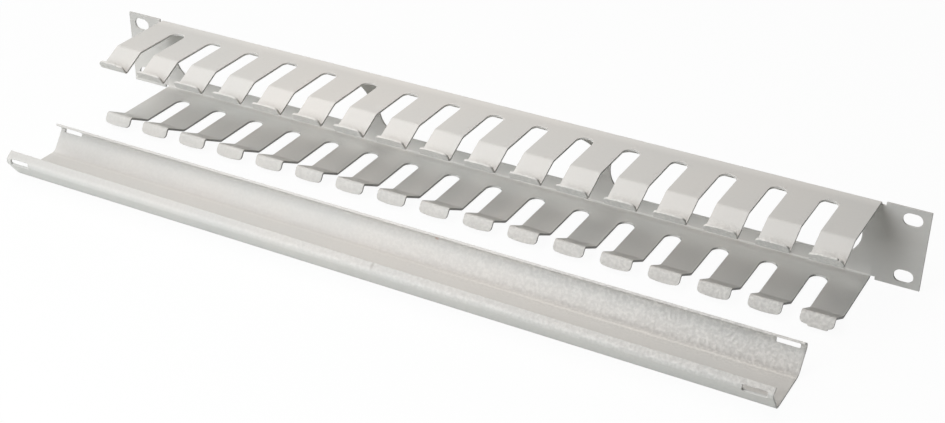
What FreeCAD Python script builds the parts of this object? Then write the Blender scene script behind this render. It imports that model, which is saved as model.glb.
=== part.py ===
"""Horizontal cable manager for a 19-inch rack: a finger panel and its cover.

Two bent sheet-steel pieces, millimetres throughout.

Axes: X runs along the rack width, positive to the right seen from the front.
Y runs from the front (negative) to the rack rails (zero is the rear face of the
ears, which sits on the rails).  Z is up, with zero half way up the panel.
"""
import FreeCAD, Part
import math
import os

V = FreeCAD.Vector

# ---- both pieces
SHEET = 1.2                  # steel thickness

# ---- panel plate and ears (19-inch rack, one unit high)
PANEL_WIDTH = 482.6          # over the ears
PANEL_HEIGHT = 44.0          # ear height
EAR_INNER_X = 218.8          # where each ear starts, from the middle
NECK_HEIGHT = 40.4           # plate between the relief notches beside each ear
MOUNT_SPACING_X = 465.1      # ear slots, left to right
MOUNT_SPACING_Z = 31.75      # ear slots, bottom to top
MOUNT_SLOT_LENGTH = 9.9
MOUNT_SLOT_HEIGHT = 6.9

# ---- cable pass-through holes in the plate
HOLE_COUNT = 3
HOLE_PITCH = 141.5
HOLE_LENGTH = 136.0
HOLE_HEIGHT = 26.6

# ---- finger combs, folded forward from the top and bottom of the plate
COMB_LENGTH = 433.0          # along X, outer edge to outer edge
COMB_HEIGHT = 43.8           # top of the upper comb to underside of the lower
FINGER_COUNT = 17
FINGER_PITCH = 26.0
GAP_WIDTH = 9.2              # open slot between two fingers, round at the back
FINGER_WIDTH = FINGER_PITCH - GAP_WIDTH
GAP_BACK = 12.0              # rear face of the ears to the back of the slots
BEND_DEPTH = 42.9            # rear face to the bend where a finger turns inward
VEE_DEPTH = 56.5             # rear face to the bottom of the vee
VEE_DROP = 7.0               # comb face to the bottom of the vee
TIP_DEPTH = 59.4             # rear face to the end of the turned-out lip
TIP_DROP = 2.1               # comb face to the end of the lip
FOLD_RADIUS = 1.8            # outside radius, plate to comb
BEND_RADIUS = 5.0            # outside radius where the finger turns inward
VEE_RADIUS = 0.8             # inside radius at the bottom of the vee
LIP_CROWN = 0.8              # how far the middle of a lip's end bulges past its corners
LIP_CORNER_RADIUS = 1.6

# ---- latch tabs standing up from the lips of the four end fingers
TAB_WIDTH = 10.0
TAB_HEIGHT = 0.5
TAB_CENTRE_X = 209.0
TAB_CORNER_RADIUS = 0.5

# ---- cover, a channel with leaning walls and turned-in edges
COVER_LENGTH = 433.8
COVER_CENTRE_X = -3.3        # where it lies beside the panel
COVER_CENTRE_Y = -113.2
COVER_FLOOR_HALF = 14.4      # half width of the flat face
COVER_WALL_HALF = 23.9       # half width at the corner between wall and edge
COVER_WALL_RISE = 12.7       # outer face up to that corner
COVER_EDGE_HALF = 18.3       # half width at the free edges
COVER_HEIGHT = 16.4          # outer face up to the free edges
COVER_FACE_RADIUS = 5.0      # outside radius, face to wall
COVER_WALL_RADIUS = 2.8      # outside radius, wall to turned-in edge
COVER_EDGE_TAPER = 1.6       # the near edge narrows by this to the right-hand end

# ---- latch slots on the corners of the cover, one near each end of each wall
LATCH_LENGTH = 11.8
LATCH_DOWN_WALL = 3.4        # reach of a slot from the corner, down the wall
LATCH_UP_EDGE = 2.1          # and over onto the turned-in edge
LATCH_INSET = 2.8            # cover end to the start of a slot
LATCH_CORNER_RADIUS = 0.7

FRONT_Y = -SHEET             # front face of the plate
COMB_TOP = COMB_HEIGHT / 2
COVER_BASE_Z = -PANEL_HEIGHT / 2   # the cover lies as low as the ears reach


def rounded_wire(points, radii):
    """Chain of straight lines through the points, each inner corner rounded."""
    edges = []
    last = points[0]
    for before, corner, after, radius in zip(points, points[1:], points[2:], radii):
        back = (before - corner).normalize()
        ahead = (after - corner).normalize()
        half = back.getAngle(ahead) / 2
        reach = radius / math.tan(half)
        start = corner + back * reach
        end = corner + ahead * reach
        middle_way = (back + ahead).normalize()
        middle = corner + middle_way * (radius / math.sin(half) - radius)
        edges.append(Part.makeLine(last, start))
        edges.append(Part.Arc(start, middle, end).toShape())
        last = end
    edges.append(Part.makeLine(last, points[-1]))
    return Part.Wire(edges)


def folded_sheet(points, radii, length):
    """Sheet bent to the outer outline, extruded along X, middle at zero."""
    skin = rounded_wire(points, radii)
    section = skin.makeOffset2D(SHEET, 0, True, True)
    section.translate(V(-length / 2, 0, 0))
    return section.extrude(V(length, 0, 0))


def obround(length, width, depth, centre, along_y):
    """Round-ended slot cutter, long way along X, through Z or through Y."""
    half = length / 2 - width / 2
    r = width / 2
    top = Part.makeLine(V(-half, r, 0), V(half, r, 0))
    right = Part.Arc(V(half, r, 0), V(half + r, 0, 0), V(half, -r, 0)).toShape()
    bottom = Part.makeLine(V(half, -r, 0), V(-half, -r, 0))
    left = Part.Arc(V(-half, -r, 0), V(-half - r, 0, 0), V(-half, r, 0)).toShape()
    cutter = Part.Face(Part.Wire([top, right, bottom, left])).extrude(V(0, 0, depth))
    cutter.translate(V(0, 0, -depth / 2))
    if along_y:
        cutter.rotate(V(0, 0, 0), V(1, 0, 0), 90)
    cutter.translate(centre)
    return cutter


def mirrored_z(points):
    return [V(p.x, p.y, -p.z) for p in reversed(points)]


# ---------------------------------------------------------------- finger panel
upper = [
    V(0, -TIP_DEPTH, COMB_TOP - TIP_DROP),
    V(0, -VEE_DEPTH, COMB_TOP - VEE_DROP),
    V(0, -BEND_DEPTH, COMB_TOP),
    V(0, 0, COMB_TOP),
]
panel_points = upper + mirrored_z(upper)
upper_radii = [VEE_RADIUS, BEND_RADIUS, FOLD_RADIUS]
panel_radii = upper_radii + upper_radii[::-1]
comb = folded_sheet(panel_points, panel_radii, COMB_LENGTH)

# gaps between the fingers, cut through both combs at once
gaps = []
for i in range(FINGER_COUNT - 1):
    x = (i - (FINGER_COUNT - 2) / 2) * FINGER_PITCH
    reach = 2 * (TIP_DEPTH - GAP_BACK)
    gap = obround(reach, GAP_WIDTH, 2 * PANEL_HEIGHT, V(0, 0, 0), False)
    gap.rotate(V(0, 0, 0), V(0, 0, 1), 90)
    gap.translate(V(x, -GAP_BACK - reach / 2, 0))
    gaps.append(gap)
comb = comb.cut(Part.makeCompound(gaps))

# lip direction, from the vee out to the free end
lip_way = V(0, upper[0].y - upper[1].y, upper[0].z - upper[1].z).normalize()
lip_tilt = math.degrees(math.atan2(-lip_way.y, lip_way.z))


def on_upper_lip(shape, x):
    """Moves a shape drawn upright at the origin to the free end of an upper lip."""
    shape.rotate(V(0, 0, 0), V(1, 0, 0), lip_tilt)
    shape.translate(V(x, upper[0].y, upper[0].z))
    return shape


def with_lower(shapes):
    return shapes + [s.mirror(V(0, 0, 0), V(0, 0, 1)) for s in shapes]


# trim the free end of every lip to a shallow crown
trims = []
for i in range(FINGER_COUNT):
    x = (i - (FINGER_COUNT - 1) / 2) * FINGER_PITCH
    half = FINGER_PITCH / 2
    left = V(-half, SHEET, -LIP_CROWN * (2 * half / FINGER_WIDTH) ** 2)
    right = V(half, SHEET, left.z)
    crown = Part.Arc(left, V(0, SHEET, 0), right).toShape()
    rim = Part.makePolygon([right, V(half, SHEET, SHEET), V(-half, SHEET, SHEET), left])
    trim = Part.Face(Part.Wire([crown] + rim.Edges)).extrude(V(0, -3 * SHEET, 0))
    trims.append(on_upper_lip(trim, x))
comb = comb.cut(Part.makeCompound(with_lower(trims)))


def is_lip_corner(edge):
    """Short edges across the thickness at the free end of a lip."""
    if abs(edge.Length - SHEET) > 0.01:
        return False
    if edge.CenterOfMass.y > -TIP_DEPTH + 2 * SHEET:
        return False
    way = edge.Vertexes[1].Point - edge.Vertexes[0].Point
    return abs(way.x) < 0.01


comb = comb.makeFillet(LIP_CORNER_RADIUS, [e for e in comb.Edges if is_lip_corner(e)])

# latch tabs on the lips of the end fingers
tabs = []
for side in (-1, 1):
    tab = Part.makeBox(TAB_WIDTH, SHEET, 3 * TAB_HEIGHT)
    tab.translate(V(-TAB_WIDTH / 2, -SHEET, -2 * TAB_HEIGHT))
    corners = [e for e in tab.Edges if e.BoundBox.YLength > SHEET / 2 and e.CenterOfMass.z > 0]
    tab = tab.makeFillet(TAB_CORNER_RADIUS, corners)
    tabs.append(on_upper_lip(tab, side * TAB_CENTRE_X))
tabs = with_lower(tabs)

# flat plate: neck between the notches, then the two ears
neck = Part.makeBox(2 * EAR_INNER_X, SHEET, NECK_HEIGHT)
neck.translate(V(-EAR_INNER_X, FRONT_Y, -NECK_HEIGHT / 2))
ears = []
ear_width = PANEL_WIDTH / 2 - EAR_INNER_X
for left in (-PANEL_WIDTH / 2, EAR_INNER_X):
    ear = Part.makeBox(ear_width, SHEET, PANEL_HEIGHT)
    ear.translate(V(left, FRONT_Y, -PANEL_HEIGHT / 2))
    ears.append(ear)
panel = comb.multiFuse([neck] + ears + tabs).removeSplitter()

# holes through the plate
cutters = []
for i in range(HOLE_COUNT):
    x = (i - (HOLE_COUNT - 1) / 2) * HOLE_PITCH
    cutters.append(obround(HOLE_LENGTH, HOLE_HEIGHT, 4 * SHEET, V(x, FRONT_Y, 0), True))
for sx in (-1, 1):
    for sz in (-1, 1):
        centre = V(sx * MOUNT_SPACING_X / 2, FRONT_Y, sz * MOUNT_SPACING_Z / 2)
        cutters.append(obround(MOUNT_SLOT_LENGTH, MOUNT_SLOT_HEIGHT, 4 * SHEET, centre, True))
panel = panel.cut(Part.makeCompound(cutters))

# ---------------------------------------------------------------------- cover
half_cover = [
    V(0, COVER_EDGE_HALF, COVER_HEIGHT),
    V(0, COVER_WALL_HALF, COVER_WALL_RISE),
    V(0, COVER_FLOOR_HALF, 0),
]
cover_points = half_cover + [V(0, -p.y, p.z) for p in reversed(half_cover)]
half_radii = [COVER_WALL_RADIUS, COVER_FACE_RADIUS]
cover_radii = half_radii + half_radii[::-1]
cover = folded_sheet(cover_points, cover_radii, COVER_LENGTH)

# The near edge narrows from left to right.  The trim is drawn on a level edge whose
# rim is the X axis, then leans with the edge.
edge_lean = math.degrees(math.atan2(COVER_HEIGHT - COVER_WALL_RISE,
                                    COVER_WALL_HALF - COVER_EDGE_HALF))
trim_points = [V(-COVER_LENGTH / 2, 0, SHEET), V(COVER_LENGTH / 2, 0, SHEET),
               V(COVER_LENGTH / 2, -COVER_EDGE_TAPER, SHEET)]
trim_face = Part.Face(Part.makePolygon(trim_points + trim_points[:1]))
edge_trim = trim_face.extrude(V(0, 0, -3 * SHEET))
edge_trim.rotate(V(0, 0, 0), V(1, 0, 0), edge_lean)
edge_trim.translate(V(0, -COVER_EDGE_HALF, COVER_HEIGHT))
cover = cover.cut(edge_trim)

# Each slot is two cutters drawn at the corner of an upright wall, outside towards
# +Y: one through the wall, one through the bend.  Both then lean with the wall.
wall_lean = math.degrees(math.atan2(COVER_WALL_HALF - COVER_FLOOR_HALF, COVER_WALL_RISE))
clear = 4 * SHEET
through_wall = Part.makeBox(LATCH_LENGTH, 2 * clear, LATCH_DOWN_WALL - SHEET)
through_wall.translate(V(-LATCH_LENGTH / 2, -clear, -LATCH_DOWN_WALL))
lower = [e for e in through_wall.Edges
         if e.BoundBox.YLength > clear and e.BoundBox.ZMax < -LATCH_DOWN_WALL + SHEET / 2]
through_wall = through_wall.makeFillet(LATCH_CORNER_RADIUS, lower)
through_bend = Part.makeBox(LATCH_LENGTH, clear, clear)
through_bend.translate(V(-LATCH_LENGTH / 2, -LATCH_UP_EDGE, -2 * SHEET))
inner = [e for e in through_bend.Edges
         if e.BoundBox.ZLength > SHEET and e.BoundBox.YMax < 0]
through_bend = through_bend.makeFillet(LATCH_CORNER_RADIUS, inner)
latch = through_wall.fuse(through_bend)
latch.rotate(V(0, 0, 0), V(1, 0, 0), -wall_lean)
latch.translate(V(0, COVER_WALL_HALF, COVER_WALL_RISE))

latches = []
latch_x = COVER_LENGTH / 2 - LATCH_INSET - LATCH_LENGTH / 2
for x in (-latch_x, latch_x):
    far = latch.translated(V(x, 0, 0))
    latches += [far, far.mirror(V(0, 0, 0), V(0, 1, 0))]
cover = cover.cut(Part.makeCompound(latches))
cover.translate(V(COVER_CENTRE_X, COVER_CENTRE_Y, COVER_BASE_Z))

# --------------------------------------------------------------------- export
os.makedirs("parts", exist_ok=True)
for name, shape in (("finger_panel", panel), ("cover", cover)):
    solid = shape.Solids[0] if len(shape.Solids) == 1 else shape
    print(name, "solids", len(shape.Solids), "valid", shape.isValid(),
          "volume", round(shape.Volume, 1), "box", shape.BoundBox)
    solid.exportStep("parts/" + name + ".step")
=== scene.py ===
"""Horizontal cable manager: the finger panel and its loose cover, both folded from
powder-coated sheet steel.

Each piece is made the way the workshop makes it: a flat blank is laid out with its
holes, bent along its fold lines, given the sheet's thickness, and its cut edges eased.
Lengths are written in millimetres and placed in metres.
"""
import math

import bmesh
import bpy
from mathutils import Matrix, Vector


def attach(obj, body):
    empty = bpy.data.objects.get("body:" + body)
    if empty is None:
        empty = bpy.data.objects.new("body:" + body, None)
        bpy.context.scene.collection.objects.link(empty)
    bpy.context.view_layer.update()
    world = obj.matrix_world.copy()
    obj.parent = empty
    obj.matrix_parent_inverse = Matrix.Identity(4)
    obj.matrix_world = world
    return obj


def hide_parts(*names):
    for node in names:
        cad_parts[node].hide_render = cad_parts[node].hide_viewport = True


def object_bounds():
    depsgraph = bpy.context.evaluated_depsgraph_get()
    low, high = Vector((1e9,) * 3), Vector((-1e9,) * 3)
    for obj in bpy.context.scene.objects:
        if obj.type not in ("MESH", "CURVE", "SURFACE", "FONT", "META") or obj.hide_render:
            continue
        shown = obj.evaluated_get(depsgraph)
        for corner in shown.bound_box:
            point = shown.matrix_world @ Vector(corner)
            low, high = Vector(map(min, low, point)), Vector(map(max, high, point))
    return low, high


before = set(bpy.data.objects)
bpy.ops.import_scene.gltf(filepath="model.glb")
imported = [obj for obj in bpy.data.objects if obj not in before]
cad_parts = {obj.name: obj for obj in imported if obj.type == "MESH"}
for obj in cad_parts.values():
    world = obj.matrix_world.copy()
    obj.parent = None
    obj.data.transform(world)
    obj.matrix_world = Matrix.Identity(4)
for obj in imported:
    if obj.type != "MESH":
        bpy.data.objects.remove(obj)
cad_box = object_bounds()

MM = 0.001
ROUND_OFF = 1e-9             # two lengths nearer than this are the same
SNAP = 1e-5                  # a cut nearer than this to a corner goes through it
ON_LINE = 1e-4               # a corner nearer than this to a line lies on it

# ---- both pieces
SHEET = 1.2
BEND_STEPS = 8               # flats in each bend
CORNER_STEPS = 5             # flats in each rounded corner
EASED_EDGE = 0.16            # the coat rounds every cut edge
EASED_STEPS = 2
EASED_ANGLE = 50             # an edge turning more than this is a cut edge, in degrees
WELD = 0.05                  # corners nearer than this are one corner
CUT_SIDE = "cut_side"        # how squarely each face looks along the rack width

# ---- finger panel
PANEL_HALF = 241.3
EAR_HALF_HEIGHT = 22.0
EAR_INNER = 218.8
NECK_HALF = 20.2             # half height of the notch between an ear and the combs
COMB_HALF = 216.5
COMB_TOP = 21.9
PITCH = 26.0
FINGERS = 17
FINGER_HALF = 8.4
GAP_BACK = 12.0              # rear end of each gap, in front of the plate's rear face
GAP_STEPS = 8
BEND = (42.9, 21.9)          # depth in front of the plate's rear face, height
VEE = (56.5, 14.9)
TIP = (59.4, 19.8)
FOLD_RADIUS, BEND_RADIUS, VEE_RADIUS = 1.8, 5.0, 0.8
CROWN = 0.8                  # how far a lip's middle stands past its sides
CROWN_STEPS = 10
LIP_CORNER = 2.5
TAB_CENTRE, TAB_HALF, TAB_UP, TAB_CORNER = 209.0, 5.0, 0.5, 0.5
TAB_CLEAR = 0.05             # a lip's own corners keep this far from its tab
NO_TAB = (-1, -1)            # up and side of the one end finger without a tab
HOLE_SIZE = (136.0, 26.6)
HOLE_CENTRES = (-141.5, 0.0, 141.5)
HOLE_RISE = 0.7
HOLE_STEPS = 14
EAR_SLOT = (9.9, 6.9)
EAR_SLOT_AT = (232.55, 15.875)
EAR_SLOT_STEPS = 10

# ---- cover
COVER_CENTRE = Vector((-3.3, -113.2, -22.0))
COVER_INSIDE = Vector((0, 0, 8))      # from there to a point inside the channel
COVER_HALF_LENGTH = 216.9
COVER_FLOOR_CORNER = (14.4, 0.0)      # half width, height
COVER_WALL_TOP = (23.9, 12.7)
COVER_EDGE_TIP = (18.3, 16.4)
COVER_RADII = (5.0, 2.8)
COVER_EDGE_TAPER = 1.6       # the near edge narrows by this toward the right-hand end
LATCH_LENGTH, LATCH_INSET, LATCH_DOWN, LATCH_UP, LATCH_CORNER = 11.8, 2.8, 3.4, 2.1, 0.7

# ---- powder coat
PANEL_PAINT = (0.630, 0.611, 0.581, 1)
COVER_PAINT = (0.597, 0.580, 0.552, 1)
COOLER = (0.965, 0.98, 0.99, 1)       # the other tone of the clouds, beside the paint
PIT_TONE, CREST_TONE = 0.70, 1.30     # a pebble's pits and crests, beside the paint
CLOUDS = (34.0, 3.0, 0.55)            # lumps: mm across, detail, roughness
PEBBLES = (0.8, 2.0, 0.5)
SKIN = (0.6, 1.0, 0.5)
CLOUD_RANGE = (0.38, 0.64)            # where in the lumps each tone begins and is full
PIT_RANGE = (0.56, 0.28)
CREST_RANGE = (0.50, 0.70)
PEBBLE_SHOW = 0.42           # how much pits and crests show where the coat is coarsest
PIT_SHOW = 0.01              # and how much the pits do where it is smooth
PEBBLE_DEPTH = 0.6
SKIN_DEPTH = 0.015           # as a share of the pebbles' depth
ROUGHNESS, CLOUD_ROUGHNESS, PIT_ROUGHNESS = 0.46, 0.1, 0.08
PAINT_IOR = 1.45
STAIN_CORE = 0.2             # share of a stain's reach that is fully stained
# centre and reach in mm, stain, strength
COVER_MARKS = (((9.0, -133.2, -7.6), (1.1, 3.4, 2.4), (0.36, 0.33, 0.30, 1), 0.65),
               ((21.0, -91.6, -9.8), (1.5, 1.2, 1.1), (0.42, 0.20, 0.13, 1), 0.55))

# ---- studio
FLOOR_PAINT = (0.775, 0.8, 0.785, 1)
FLOOR_WHITE = 0.95           # share of plain white that the floor shows the camera
FLOOR_HALF = 9.0
FLOOR_DROP = 0.2             # the floor keeps this far below the pieces
WHITE = (1, 1, 1, 1)
SKY_LIGHT = 0.0              # the softboxes alone light the pieces
# name, place, aim, width and height in metres, power in watts, colour
SOFTBOXES = (
    ("front", (-0.2, -0.8, 0.35), (0, -0.08, 0), (0.5, 0.4), 4.3, (0.965, 0.995, 1.02)),
    ("front left", (-0.7, -0.9, 1.56), (0, -0.06, 0), (1.2, 0.9), 13.5, (0.97, 0.98, 1.0)),
    ("back left", (-0.77, 0.71, 1.56), (0, -0.06, 0), (1.2, 0.9), 10.6, (0.95, 0.995, 0.98)),
    ("overhead", (-0.05, -0.1, 0.6), (-0.05, -0.08, 0), (0.5, 0.3), 1.5, (1.0, 0.91, 0.86)))

# ---- camera
SENSOR_WIDTH, LENS = 36, 62.915
SHIFT = (-0.00365, 0.05242)
SIGHT = (0.02, 50)           # nearest and furthest that it sees, in metres
STAND = (372.308, -705.941, 412.779)
RIGHTWARD = (0.87779915, 0.47887143, 0.01228022)
DOWNWARD = (0.26035159, -0.45540712, -0.85136444)
FORWARD = (-0.40210161, 0.75052416, -0.52443092)


# ------------------------------------------------------------------ bent sheet
class Fold:
    """The outer line of a bent sheet, measured along its length from the first point.

    Its stations are the lengths at which a bend's flats meet: BEND_STEPS + 1 to a bend.
    """

    def __init__(self, points, radii):
        points = [Vector(p) for p in points]
        self.runs = []
        self.stations = []
        here, at = 0.0, points[0]
        for i, radius in enumerate(radii):
            before, corner, after = points[i:i + 3]
            back, ahead = (before - corner).normalized(), (after - corner).normalized()
            half = back.angle(ahead) / 2
            reach = radius / math.tan(half)
            centre = corner + (back + ahead).normalized() * (radius / math.sin(half))
            start, end = corner + back * reach, corner + ahead * reach
            arm, far = start - centre, end - centre
            side = math.copysign(1, arm.x * far.y - arm.y * far.x)
            turn = math.pi - 2 * half
            self.runs.append(("straight", here, at, -back))
            here += (start - at).length
            self.runs.append(("bend", here, centre, arm, side, radius))
            self.stations += [here + radius * turn * k / BEND_STEPS
                              for k in range(BEND_STEPS + 1)]
            here += radius * turn
            at = end
        self.runs.append(("straight", here, at, (points[-1] - at).normalized()))
        self.length = here + (points[-1] - at).length

    def at(self, s):
        run = [r for r in self.runs if r[1] <= s + ROUND_OFF or r is self.runs[0]][-1]
        if run[0] == "straight":
            return run[2] + run[3] * (s - run[1])
        _, start, centre, arm, side, radius = run
        angle = side * (s - start) / radius
        cos, sin = math.cos(angle), math.sin(angle)
        return centre + Vector((arm.x * cos - arm.y * sin, arm.x * sin + arm.y * cos))


def arc(x, y, radius, start, sweep, steps):
    """Points round (x, y) from an angle through a sweep, both in degrees."""
    turns = [math.radians(start + sweep * k / steps) for k in range(steps + 1)]
    return [(x + radius * math.cos(a), y + radius * math.sin(a)) for a in turns]


def obround(x, y, length, width, steps):
    """A round-ended slot, as a closed outline."""
    radius = width / 2
    half = length / 2 - radius
    return arc(x + half, y, radius, -90, 180, steps) + arc(x - half, y, radius, 90, 180, steps)


def rounded(low, high, radius):
    """An upright rectangle between two corners, its own corners rounded."""
    points = []
    for x, y, start in ((high[0] - radius, low[1] + radius, -90),
                        (high[0] - radius, high[1] - radius, 0),
                        (low[0] + radius, high[1] - radius, 90),
                        (low[0] + radius, low[1] + radius, 180)):
        points += arc(x, y, radius, start, 90, CORNER_STEPS)
    return points


def lies_on(edge, axis, places):
    """Whether both ends of an edge are at one of these places along an axis."""
    return any(all(abs(v.co[axis] - at) < ON_LINE for v in edge.verts) for at in places)


def blank(outlines, stations=(), cuts=()):
    """A flat blank in x and y from its outline and holes, with an edge at each station.

    With cuts it also has an edge across at each of them, and no other inner edges.
    """
    sheet = bmesh.new()
    for outline in outlines:
        corners = [sheet.verts.new((x, y, 0)) for x, y in outline]
        for a, b in zip(corners, corners[1:] + corners[:1]):
            sheet.edges.new((a, b))
    bmesh.ops.triangle_fill(sheet, use_beauty=True, edges=sheet.edges[:], normal=(0, 0, 1))
    lines = [((0, s, 0), (0, 1, 0)) for s in stations]
    lines += [((x, 0, 0), (1, 0, 0)) for x in cuts]
    for at, across in lines:
        everything = sheet.verts[:] + sheet.edges[:] + sheet.faces[:]
        bmesh.ops.bisect_plane(sheet, geom=everything, dist=SNAP, plane_co=at,
                               plane_no=across)
    if cuts:
        spare = [edge for edge in sheet.edges if not edge.is_boundary
                 and not lies_on(edge, 1, stations) and not lies_on(edge, 0, cuts)]
        bmesh.ops.dissolve_edges(sheet, edges=spare, use_verts=False)
        spare = [v for v in sheet.verts if len(v.link_edges) == 2
                 and v.calc_edge_angle(0) < ON_LINE]
        bmesh.ops.dissolve_verts(sheet, verts=spare)
    return sheet


def bend_blank(sheet, place):
    """Carries each corner of the blank to its place in the bent piece, in metres."""
    for v in sheet.verts:
        v.co = Vector(place(v.co.x, v.co.y)) * MM


# ---------------------------------------------------------------- skins and pieces
def placed(name, data):
    """A fresh object in the scene."""
    thing = bpy.data.objects.new(name, data)
    bpy.context.scene.collection.objects.link(thing)
    return thing


def as_object(sheet, name):
    mesh = bpy.data.meshes.new(name)
    sheet.to_mesh(mesh)
    sheet.free()
    return placed(name, mesh)


def add_to(whole, sheet):
    """Adds one sheet's faces to another and empties it."""
    mesh = bpy.data.meshes.new("passing")
    sheet.to_mesh(mesh)
    sheet.free()
    whole.from_mesh(mesh)
    bpy.data.meshes.remove(mesh)


def settled(piece, name):
    """A fresh object whose plain mesh is the piece with its modifiers worked out."""
    bpy.context.view_layer.update()
    graph = bpy.context.evaluated_depsgraph_get()
    mesh = bpy.data.meshes.new_from_object(piece.evaluated_get(graph))
    mesh.name = name
    bpy.data.objects.remove(piece)
    return placed(name, mesh)


def face_away(piece, inside):
    """Welds the skin and turns its faces to look away from a point inside the fold."""
    sheet = bmesh.new()
    sheet.from_mesh(piece.data)
    bmesh.ops.remove_doubles(sheet, verts=sheet.verts, dist=WELD * MM)
    bmesh.ops.recalc_face_normals(sheet, faces=sheet.faces[:])
    widest = max(sheet.faces, key=lambda f: f.calc_area())
    if (widest.calc_center_median() - inside).dot(widest.normal) < 0:
        bmesh.ops.reverse_faces(sheet, faces=sheet.faces[:])
    sheet.to_mesh(piece.data)
    sheet.free()


def thicken(skin, name, coat):
    """Gives the skin the sheet's thickness on its inner side and eases the cut edges."""
    for face in skin.data.polygons:
        face.use_smooth = True
    solid = skin.modifiers.new("thickness", "SOLIDIFY")
    solid.thickness = SHEET * MM
    solid.offset = -1
    solid.use_even_offset = True
    solid.use_quality_normals = True
    ease = skin.modifiers.new("eased", "BEVEL")
    ease.width = EASED_EDGE * MM
    ease.segments = EASED_STEPS
    ease.limit_method = "ANGLE"
    ease.angle_limit = math.radians(EASED_ANGLE)
    ease.use_clamp_overlap = False
    even = skin.modifiers.new("even", "WEIGHTED_NORMAL")
    even.keep_sharp = True
    piece = settled(skin, name)
    piece.data.materials.clear()
    piece.data.materials.append(coat)
    sides = piece.data.attributes.new(CUT_SIDE, "FLOAT", "FACE")
    sides.data.foreach_set("value", [abs(face.normal.x) for face in piece.data.polygons])
    return piece


# ------------------------------------------------------------------ node trees
class Value:
    """An output of a node, so that sums on it read as ordinary arithmetic."""

    def __init__(self, nodes, socket):
        self.nodes, self.socket = nodes, socket

    def _sum(self, operation, a, b):
        return self.nodes.add("ShaderNodeMath", {"operation": operation}, {0: a, 1: b})

    def __add__(self, other):
        return self._sum("ADD", self, other)

    def __sub__(self, other):
        return self._sum("SUBTRACT", self, other)

    def __rsub__(self, other):
        return self._sum("SUBTRACT", other, self)

    def __mul__(self, other):
        return self._sum("MULTIPLY", self, other)

    def __abs__(self):
        return self.nodes.add("ShaderNodeMath", {"operation": "ABSOLUTE"}, {0: self})

    __radd__ = __add__
    __rmul__ = __mul__


class Nodes:
    """A node tree under construction."""

    def __init__(self, tree):
        self.tree = tree
        tree.nodes.clear()

    def add(self, kind, settings=None, sockets=None, out=0):
        """Adds a node: its settings first, then a value, a link or several to each socket."""
        node = self.tree.nodes.new(kind)
        for key, value in (settings or {}).items():
            setattr(node, key, value)
        for key, value in (sockets or {}).items():
            for one in value if isinstance(value, list) else [value]:
                if isinstance(one, Value):
                    self.tree.links.new(one.socket, node.inputs[key])
                else:
                    node.inputs[key].default_value = one
        return Value(self, node.outputs[out]) if node.outputs else None

    def vector_maths(self, operation, a, b=(0, 0, 0), out=0):
        return self.add("ShaderNodeVectorMath", {"operation": operation}, {0: a, 1: b}, out)

    def lumps(self, place, size_mm, detail, rough):
        """Soft noise whose lumps are about size_mm across."""
        return self.add("ShaderNodeTexNoise", None,
                        {"Vector": place, "Scale": 0.5 / (size_mm * MM), "Detail": detail,
                         "Roughness": rough})

    def rise(self, value, low, high):
        """From 0 at low to 1 at high, and level beyond them."""
        return self.add("ShaderNodeMapRange", {"clamp": True},
                        {"Value": value, "From Min": low, "From Max": high})

    def mix(self, factor, a, b, blend="MIX"):
        """Two colours, on the colour sockets that a Mix node has after its others."""
        return self.add("ShaderNodeMix", {"data_type": "RGBA", "blend_type": blend},
                        {0: factor, 6: a, 7: b}, out=2)


def new_material(name):
    material = bpy.data.materials.new(name)
    material.use_nodes = True
    return material, Nodes(material.node_tree)


# ---------------------------------------------------------------- Geometry Nodes
def finger_rows_tree():
    """One finger repeated along the rack width, and the same row turned over below."""
    tree = bpy.data.node_groups.new("finger rows", "GeometryNodeTree")
    rows = Nodes(tree)
    tree.interface.new_socket("Geometry", in_out="OUTPUT", socket_type="NodeSocketGeometry")
    inputs = {"Geometry": "NodeSocketGeometry", "Finger": "NodeSocketObject",
              "Count": "NodeSocketInt", "Pitch": "NodeSocketFloat",
              "Coat": "NodeSocketMaterial"}
    for label, kind in inputs.items():
        tree.interface.new_socket(label, in_out="INPUT", socket_type=kind)
    given = {label: rows.add("NodeGroupInput", out=label) for label in inputs}
    first = rows.add("ShaderNodeCombineXYZ", None,
                     {"X": (given["Count"] - 1) * given["Pitch"] * -0.5})
    step = rows.add("ShaderNodeCombineXYZ", None, {"X": given["Pitch"]})
    places = rows.add("GeometryNodeMeshLine", {"mode": "OFFSET"},
                      {"Count": given["Count"], "Start Location": first, "Offset": step})
    upper = rows.add("GeometryNodeObjectInfo", None, {"Object": given["Finger"]},
                     out="Geometry")
    turned = rows.add("GeometryNodeTransform", None, {"Geometry": upper, "Scale": (1, 1, -1)})
    lower = rows.add("GeometryNodeFlipFaces", None, {0: turned})
    pieces = [rows.add("GeometryNodeInstanceOnPoints", None, {"Points": places, "Instance": one})
              for one in (upper, lower)]
    whole = rows.add("GeometryNodeJoinGeometry", None, {0: pieces + [given["Geometry"]]})
    real = rows.add("GeometryNodeRealizeInstances", None, {0: whole})
    coated = rows.add("GeometryNodeSetMaterial", None,
                      {"Geometry": real, "Material": given["Coat"]})
    rows.add("NodeGroupOutput", None, {0: coated})
    return tree


def repeat_fingers(plate, finger, count, pitch, coat):
    """The plate with both rows of fingers joined to it, as one skin."""
    tree = finger_rows_tree()
    rows = plate.modifiers.new("finger rows", "NODES")
    rows.node_group = tree
    values = {"Finger": finger, "Count": count, "Pitch": pitch, "Coat": coat}
    for item in tree.interface.items_tree:
        if item.in_out == "INPUT" and item.name in values:
            rows[item.identifier] = values[item.name]
    skin = settled(plate, "panel_skin")
    bpy.data.objects.remove(finger)
    return skin


# ------------------------------------------------------------------------- coats
def climb(coat, value, low, high):
    """From 0 at low to 1 at high, both in mm."""
    return coat.rise(value, low * MM, high * MM)


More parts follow.
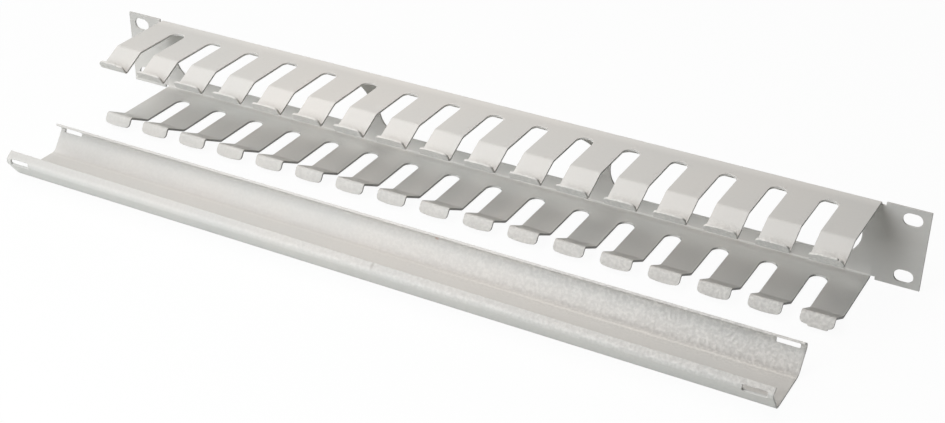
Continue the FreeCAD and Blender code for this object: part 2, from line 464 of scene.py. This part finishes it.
def near(coat, value, middle, reach, core):
    """1 within core of the middle, 0 past reach, all in mm."""
    return climb(coat, abs(value - middle * MM), reach, core)


def grow(share, least, most):
    return share * (most - least) + least


def mark(coat, tone, place, centre, reach, stain, strength):
    """A small soft-edged stain on the coat; centre and reach in mm."""
    off = coat.vector_maths("SUBTRACT", place, tuple(c * MM for c in centre))
    scaled = coat.vector_maths("MULTIPLY", off, tuple(1 / (r * MM) for r in reach))
    away = coat.vector_maths("LENGTH", scaled, out="Value")
    return coat.mix((1 - coat.rise(away, STAIN_CORE, 1.0)) * strength, tone, stain)


def plate_fold_painted_light(coat, x, y, z):
    """Painted light along the inside of the plate's two folds, with a fine painted highlight
    line in it.
    """
    front, corner = -SHEET, COMB_TOP - SHEET
    line_height = corner - 0.8
    wide = near(coat, y, front, 7, 0.5) * near(coat, abs(z), corner, 7, 0.5)
    line = near(coat, y, front, 0.5, 0.2) * near(coat, abs(z), line_height, 0.5, 0.2)
    paler = wide * 0.32 + line * grow(climb(coat, x, -200, 150), 0.15, 0.45)
    return paler * near(coat, x, 0, COMB_HALF + 0.5, COMB_HALF - 0.5)


def lower_sides_painted_shade(coat, x, y, z):
    """Painted shade: the lower comb's cut sides are much darker than its faces, most to the
    right.
    """
    squarely = coat.add("ShaderNodeAttribute", {"attribute_name": CUT_SIDE}, out="Fac")
    lower_comb = climb(coat, z, -10, -14)
    return (coat.rise(squarely, 0.45, 0.8) * lower_comb
            * grow(climb(coat, x, 0, 200), 0.72, 0.92))


def ear_painted_shade(coat, x, y, z):
    """Painted shade: the ears are a shade duller toward the top."""
    ears = 1 - near(coat, x, 0, COMB_HALF + 5, COMB_HALF)
    return ears * climb(coat, z, 0, 14)


def far_wall_painted_light(coat, x, y, z):
    """Painted light: the cover's far wall is a shade paler than its floor, least at its two
    ends.
    """
    far_wall = climb(coat, y, -99.2, -97.8)
    along = grow(climb(coat, x, -215, -60), 0.1, 0.85)
    return far_wall * (along - climb(coat, x, 130, 200) * 0.6)


def cover_fold_painted_highlight(coat, x, y, z):
    """A painted highlight: a pale line on the cover's floor beside the fold of its far wall."""
    return near(coat, y, -102.4, 1.2, 0.4) * grow(climb(coat, x, 0, 130), 0.2, 1.0)


def cover_fold_painted_shade(coat, x, y, z):
    """Painted shade in that fold, a shade darker there."""
    return near(coat, y, -99.4, 1.3, 0.3) * climb(coat, x, 0, 130)


def near_edge_painted_shade(coat, x, y, z):
    """Painted shade: the flat of the cover's near edge is a shade duller than its bend."""
    return near(coat, y, -132.8, 3, 1.4) * climb(coat, z, -8.4, -7.8)


def panel_pebbling(coat, x, y, z):
    """Coarse on the lips, and more so toward the right-hand end."""
    lips = climb(coat, y, -50, -55)
    return lips * grow(climb(coat, x, -120, 180), 0.25, 0.85) + 0.03


def cover_pebbling(coat, x, y, z):
    """Coarse inside the far wall and on the near edge, and more so to the right."""
    far_wall = climb(coat, y, -108, -100)
    near_edge = climb(coat, y, -122, -128) * climb(coat, z, -12, -9)
    return (grow(far_wall, 0.12, 1.0) * grow(climb(coat, x, -40, 200), 0.15, 1.0)
            + near_edge * grow(climb(coat, x, -110, 160), 0.15, 0.70))


def powder_coat(name, paint, pebbling, marks=(), washes=()):
    """Light grey powder coat: a little cloudy in tone, its skin pebbled here and there.

    Each wash is a function that gives its share at a place, and what it makes of the
    tone there: above 1 is paler, below 1 duller.
    """
    material, coat = new_material(name)
    place = coat.add("ShaderNodeTexCoord", out="Object")
    x, y, z = (coat.add("ShaderNodeSeparateXYZ", None, {0: place}, out=axis) for axis in "XYZ")
    coarse = pebbling(coat, x, y, z)
    cloud = coat.lumps(place, *CLOUDS)
    pebbles = coat.lumps(place, *PEBBLES)
    skin = coat.lumps(place, *SKIN)
    cooler = tuple(c * f for c, f in zip(paint, COOLER))
    pit = tuple(c * PIT_TONE for c in paint[:3]) + (1,)
    crest = tuple(min(c * CREST_TONE, 1) for c in paint[:3]) + (1,)
    pits = coat.rise(pebbles, *PIT_RANGE)
    crests = coat.rise(pebbles, *CREST_RANGE)
    tone = coat.mix(coat.rise(cloud, *CLOUD_RANGE), paint, cooler)
    tone = coat.mix(pits * (coarse * PEBBLE_SHOW + PIT_SHOW), tone, pit)
    tone = coat.mix(crests * coarse * PEBBLE_SHOW, tone, crest)
    for one in marks:
        tone = mark(coat, tone, place, *one)
    for share, strength in washes:
        tone = coat.mix(share(coat, x, y, z), tone, (strength,) * 3 + (1,), "MULTIPLY")
    bump = coat.add("ShaderNodeBump", None,
                    {"Strength": 1.0, "Distance": PEBBLE_DEPTH * MM,
                     "Height": pebbles * coarse + skin * SKIN_DEPTH})
    rough = cloud * CLOUD_ROUGHNESS + pits * PIT_ROUGHNESS + ROUGHNESS
    shader = coat.add("ShaderNodeBsdfPrincipled", None,
                      {"Base Color": tone, "Roughness": rough, "Normal": bump,
                       "IOR": PAINT_IOR})
    coat.add("ShaderNodeOutputMaterial", None, {"Surface": shader})
    return material


# the washes below are painted light and shade, placed on the pieces, not the coat's own tone
panel_coat = powder_coat("panel_powder_coat", PANEL_PAINT, panel_pebbling,
                         washes=((plate_fold_painted_light, 1.5), (lower_sides_painted_shade, 0.3), (ear_painted_shade, 0.87)))
# the cover's washes below are painted light, highlight and shade, not the coat's own tone
cover_coat = powder_coat("cover_powder_coat", COVER_PAINT, cover_pebbling, COVER_MARKS,
                         washes=((far_wall_painted_light, 1.11), (cover_fold_painted_highlight, 1.2),
                                 (cover_fold_painted_shade, 0.9), (near_edge_painted_shade, 0.915)))


# ------------------------------------------------------------------ finger panel
comb_fold = Fold([(0, 0), (0, COMB_TOP)]
                 + [(-depth, height) for depth, height in (BEND, VEE, TIP)],
                 [FOLD_RADIUS, BEND_RADIUS, VEE_RADIUS])
fold_line = comb_fold.stations[0]
gap_start = comb_fold.stations[BEND_STEPS] + GAP_BACK - FOLD_RADIUS
gap_radius = PITCH / 2 - FINGER_HALF
tip_line = comb_fold.length
last_finger = (FINGERS - 1) / 2 * PITCH


def crown(x):
    """How far a lip reaches at x from its middle."""
    return tip_line - CROWN * (x / FINGER_HALF) ** 2


def lip_end(left, right):
    """The crowned end of a lip from left to right, with its corners rounded."""
    def corner(x, side):
        turns = [math.radians(90 * k / CORNER_STEPS) for k in range(CORNER_STEPS + 1)]
        level = crown(x + side * LIP_CORNER)
        return [(x + side * LIP_CORNER * (1 - math.cos(a)),
                 level - LIP_CORNER * (1 - math.sin(a))) for a in turns]
    start, end = left + LIP_CORNER, right - LIP_CORNER
    between = [start + (end - start) * k / CROWN_STEPS for k in range(1, CROWN_STEPS)]
    return corner(left, 1) + [(x, crown(x)) for x in between] + corner(right, -1)[::-1]


def with_tab(end, centre):
    """The same end with the small square tab standing up from it."""
    low, high = centre - TAB_HALF, centre + TAB_HALF
    top = tip_line + TAB_UP
    tab = [(low, crown(low)), (low, top - TAB_CORNER), (low + TAB_CORNER, top),
           (high - TAB_CORNER, top), (high, top - TAB_CORNER), (high, crown(high))]
    return ([p for p in end if p[0] < low - TAB_CLEAR] + tab
            + [p for p in end if p[0] > high + TAB_CLEAR])


def gap_side(side):
    """Round the back of the gap on one side of a finger, from its middle to the finger."""
    turns = [math.radians(90 * k / GAP_STEPS) for k in range(GAP_STEPS, -1, -1)]
    return [(side * (PITCH / 2 - gap_radius * math.cos(a)),
             gap_start + gap_radius * (1 - math.sin(a))) for a in turns]


def finger_blank(end_of_row=0, tabbed=False):
    """One finger's share of the comb, from the fold line of the plate to the lip.

    end_of_row is -1 or 1 for the finger that ends the row on that side, which has no
    gap there and may carry a tab.
    """
    sides = []
    for side in (-1, 1):
        if side == end_of_row:
            edge = side * (COMB_HALF - last_finger)
            sides.append((edge, [(edge, fold_line)]))
        else:
            sides.append((side * FINGER_HALF,
                          [(side * PITCH / 2, fold_line)] + gap_side(side)))
    (left, up_left), (right, up_right) = sides
    end = lip_end(left, right)
    if tabbed:
        end = with_tab(end, end_of_row * (TAB_CENTRE - last_finger))
    outline = up_left + end + up_right[::-1]
    return blank([outline[::-1]], comb_fold.stations[1:])


def comb_place(x, s, up):
    """Where a corner of a finger's blank comes in the upper (1) or lower (-1) comb."""
    y, z = comb_fold.at(s)
    return x, y, up * z


def plate_blank():
    """The flat plate: ears, necks beside the combs, pass-through holes and ear slots."""
    seams = [(k - FINGERS / 2) * PITCH for k in range(1, FINGERS)]
    top = [(-PANEL_HALF, EAR_HALF_HEIGHT), (-EAR_INNER, EAR_HALF_HEIGHT),
           (-EAR_INNER, NECK_HALF), (-COMB_HALF, NECK_HALF), (-COMB_HALF, fold_line)]
    top += [(x, fold_line) for x in seams] + [(-x, y) for x, y in reversed(top)]
    outline = top + [(x, -y) for x, y in reversed(top)]
    holes = [obround(x, HOLE_RISE, *HOLE_SIZE, HOLE_STEPS) for x in HOLE_CENTRES]
    out, up = EAR_SLOT_AT
    slots = [obround(x, y, *EAR_SLOT, EAR_SLOT_STEPS) for x in (-out, out) for y in (-up, up)]
    return blank([outline[::-1]] + holes + slots)


def make_panel():
    """The panel's skin: the plate, its four end fingers, and the rows between them."""
    whole = plate_blank()
    bend_blank(whole, lambda x, s: (x, 0, s))
    for up in (1, -1):
        for side in (-1, 1):
            strip = finger_blank(side, tabbed=(up, side) != NO_TAB)
            bend_blank(strip, lambda x, s: comb_place(x + side * last_finger, s, up))
            add_to(whole, strip)
    finger = finger_blank()
    bend_blank(finger, lambda x, s: comb_place(x, s, 1))
    return repeat_fingers(as_object(whole, "plate_skin"), as_object(finger, "finger"),
                          FINGERS - 2, PITCH * MM, panel_coat)


panel_skin = make_panel()
face_away(panel_skin, Vector((0, -BEND[0] / 2, 0)) * MM)
panel = thicken(panel_skin, "finger_panel_sheet", panel_coat)
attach(panel, "panel")
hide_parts("finger_panel")


# ------------------------------------------------------------------------- cover
def make_cover():
    """The cover's skin: a channel with four latch slots round its upper bends."""
    far_side = [COVER_FLOOR_CORNER, COVER_WALL_TOP, COVER_EDGE_TIP]
    near_side = [(-w, z) for w, z in reversed(far_side)]
    fold = Fold(near_side + far_side, COVER_RADII[::-1] + COVER_RADII)
    # a latch slot runs from its mark on the turned-in edge, round the bend, to its mark
    # on the wall; both marks are measured from the bend
    bend_start, bend_end = fold.stations[0], fold.stations[BEND_STEPS]
    radius = COVER_RADII[1]
    up = bend_end - radius * math.acos(1 - LATCH_UP / radius)
    down = bend_end + LATCH_DOWN - radius * math.tan((bend_end - bend_start) / radius / 2)
    end = COVER_HALF_LENGTH
    slots = []
    for left in (LATCH_INSET - end, end - LATCH_INSET - LATCH_LENGTH):
        for low, high in ((up, down), (fold.length - down, fold.length - up)):
            slots.append(rounded((left, low), (left + LATCH_LENGTH, high), LATCH_CORNER))
    outline = [(-end, 0), (end, COVER_EDGE_TAPER), (end, fold.length), (-end, fold.length)]
    beside_slots = (end - LATCH_INSET / 2, end - LATCH_INSET * 1.5 - LATCH_LENGTH)
    sheet = blank([outline] + slots, fold.stations,
                  [side * x for x in beside_slots for side in (-1, 1)])
    bend_blank(sheet, lambda x, s: COVER_CENTRE + Vector((x, *fold.at(s))))
    return as_object(sheet, "cover_skin")


cover_skin = make_cover()
face_away(cover_skin, (COVER_CENTRE + COVER_INSIDE) * MM)
cover = thicken(cover_skin, "cover_sheet", cover_coat)
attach(cover, "cover")
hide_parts("cover")


# ------------------------------------------------------------------------- stage
def make_floor():
    """A plain pale floor, white to the camera but for the soft shadow it keeps."""
    material, floor = new_material("floor")
    plain = floor.add("ShaderNodeBsdfDiffuse", None, {"Color": FLOOR_PAINT})
    white = floor.add("ShaderNodeEmission", None, {"Color": WHITE, "Strength": 1.0})
    direct, mirrored, through = (
        floor.add("ShaderNodeLightPath", out=ray)
        for ray in ("Is Camera Ray", "Is Glossy Ray", "Is Transmission Ray"))
    both = floor.add("ShaderNodeMixShader", None,
                     {0: (direct + mirrored + through) * FLOOR_WHITE, 1: plain, 2: white})
    floor.add("ShaderNodeOutputMaterial", None, {"Surface": both})
    ground = bmesh.new()
    bmesh.ops.create_grid(ground, x_segments=1, y_segments=1, size=FLOOR_HALF)
    for v in ground.verts:
        v.co.z = cad_box[0][2] - FLOOR_DROP * MM
    piece = as_object(ground, "studio_floor")
    piece.data.materials.append(material)


def make_sky():
    """White to the camera alone; it adds nothing to the pieces or what they mirror."""
    world = bpy.data.worlds.new("studio")
    bpy.context.scene.world = world
    world.use_nodes = True
    sky = Nodes(world.node_tree)
    dark = sky.add("ShaderNodeBackground", None, {"Color": WHITE, "Strength": SKY_LIGHT})
    white = sky.add("ShaderNodeBackground", None, {"Color": WHITE, "Strength": 1.0})
    seen = sky.add("ShaderNodeLightPath", out="Is Camera Ray")
    both = sky.add("ShaderNodeMixShader", None, {0: seen, 1: dark, 2: white})
    sky.add("ShaderNodeOutputWorld", None, {"Surface": both})


def softbox(name, place, aim, size, power, colour):
    lamp = bpy.data.lights.new(name, "AREA")
    lamp.shape = "RECTANGLE"
    lamp.size, lamp.size_y = size
    lamp.energy = power
    lamp.color = colour
    stand = placed(name, lamp)
    stand.location = place
    stand.rotation_euler = (Vector(aim) - Vector(place)).to_track_quat("-Z", "Y").to_euler()


def make_camera():
    eye = bpy.data.cameras.new("camera")
    eye.sensor_width = SENSOR_WIDTH
    eye.lens = LENS
    eye.shift_x, eye.shift_y = SHIFT
    eye.clip_start, eye.clip_end = SIGHT
    camera = placed("camera", eye)
    stance = Matrix((Vector(RIGHTWARD), -Vector(DOWNWARD), -Vector(FORWARD)))
    stance = stance.transposed().to_4x4()
    stance.translation = Vector(STAND) * MM
    camera.matrix_world = stance
    bpy.context.scene.camera = camera


make_floor()
make_sky()
for box in SOFTBOXES:
    softbox(*box)
make_camera()
bpy.context.scene.view_settings.view_transform = "Standard"
